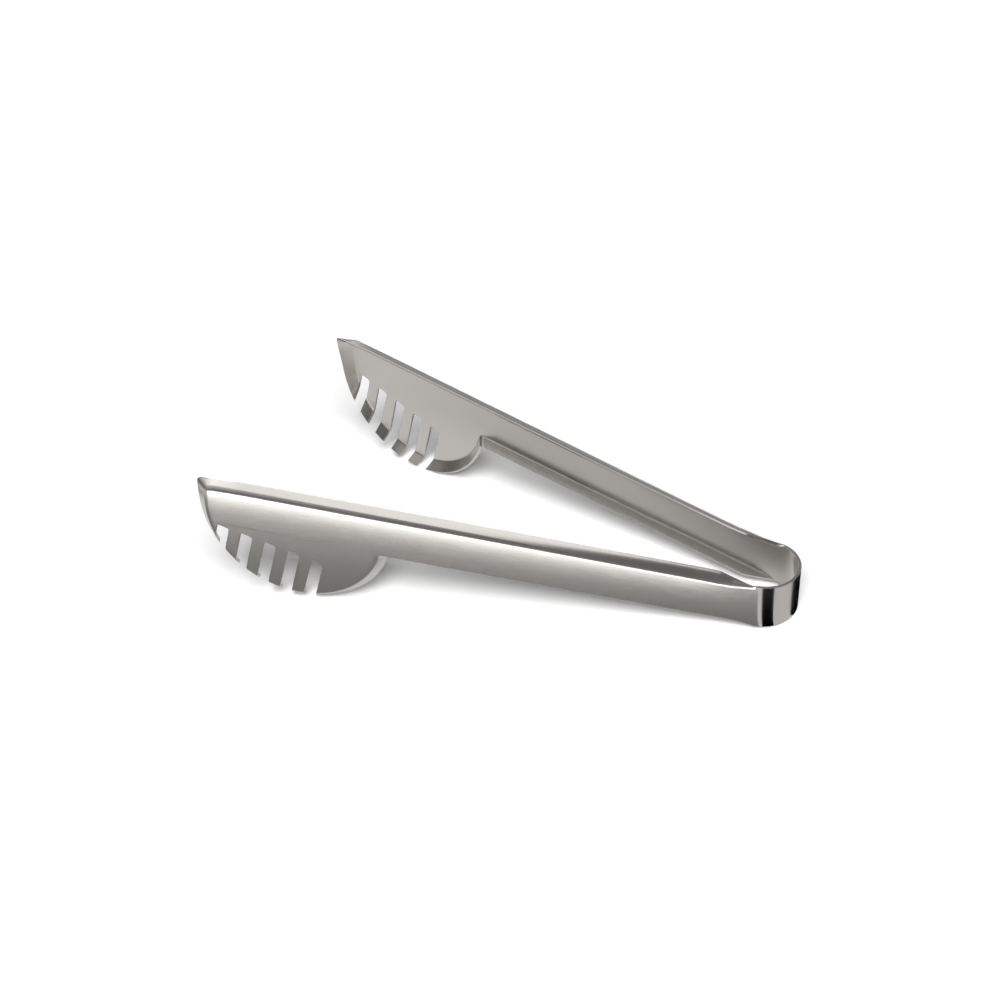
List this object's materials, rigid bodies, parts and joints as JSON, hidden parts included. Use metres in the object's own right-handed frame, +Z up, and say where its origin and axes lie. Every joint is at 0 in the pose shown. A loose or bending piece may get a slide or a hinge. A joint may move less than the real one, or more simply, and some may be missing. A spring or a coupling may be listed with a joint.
{
  "type": "salad tongs",
  "caption": "One-piece sprung salad tongs of folded steel sheet, with a flat U-shaped bow, straight flanged handles and half-round slotted blades with turned-in lips.",
  "frame": {"origin": "middle of the tongs' box, on the surface that they rest on", "axes": "+X towards the bow, -X towards the noses of the blades, +Y towards the right arm, +Z up"},
  "size_m": [0.23, 0.1144, 0.0563],
  "materials": {
    "steel": "satin"
  },
  "bodies": {
    "bow": {"spring_bow": "steel"},
    "right_arm": {"right_arm": "steel"},
    "left_arm": {"left_arm": "steel"}
  },
  "joints": [
    {"name": "right_squeeze", "type": "hinge", "parent": "bow", "child": "right_arm", "pos_m": [0.10986, 0.00848, 0.00997], "axis": [0.1663, 0, 0.9861], "range_deg": [0, 13], "stiffness_Nm_per_rad": 4},
    {"name": "left_squeeze", "type": "hinge", "parent": "bow", "child": "left_arm", "pos_m": [0.10986, -0.00848, 0.00997], "axis": [-0.1663, 0, -0.9861], "range_deg": [0, 13], "stiffness_Nm_per_rad": 4}
  ],
  "couplings": [
    {"joint": "left_squeeze", "follows": "right_squeeze", "ratio": 1}
  ]
}
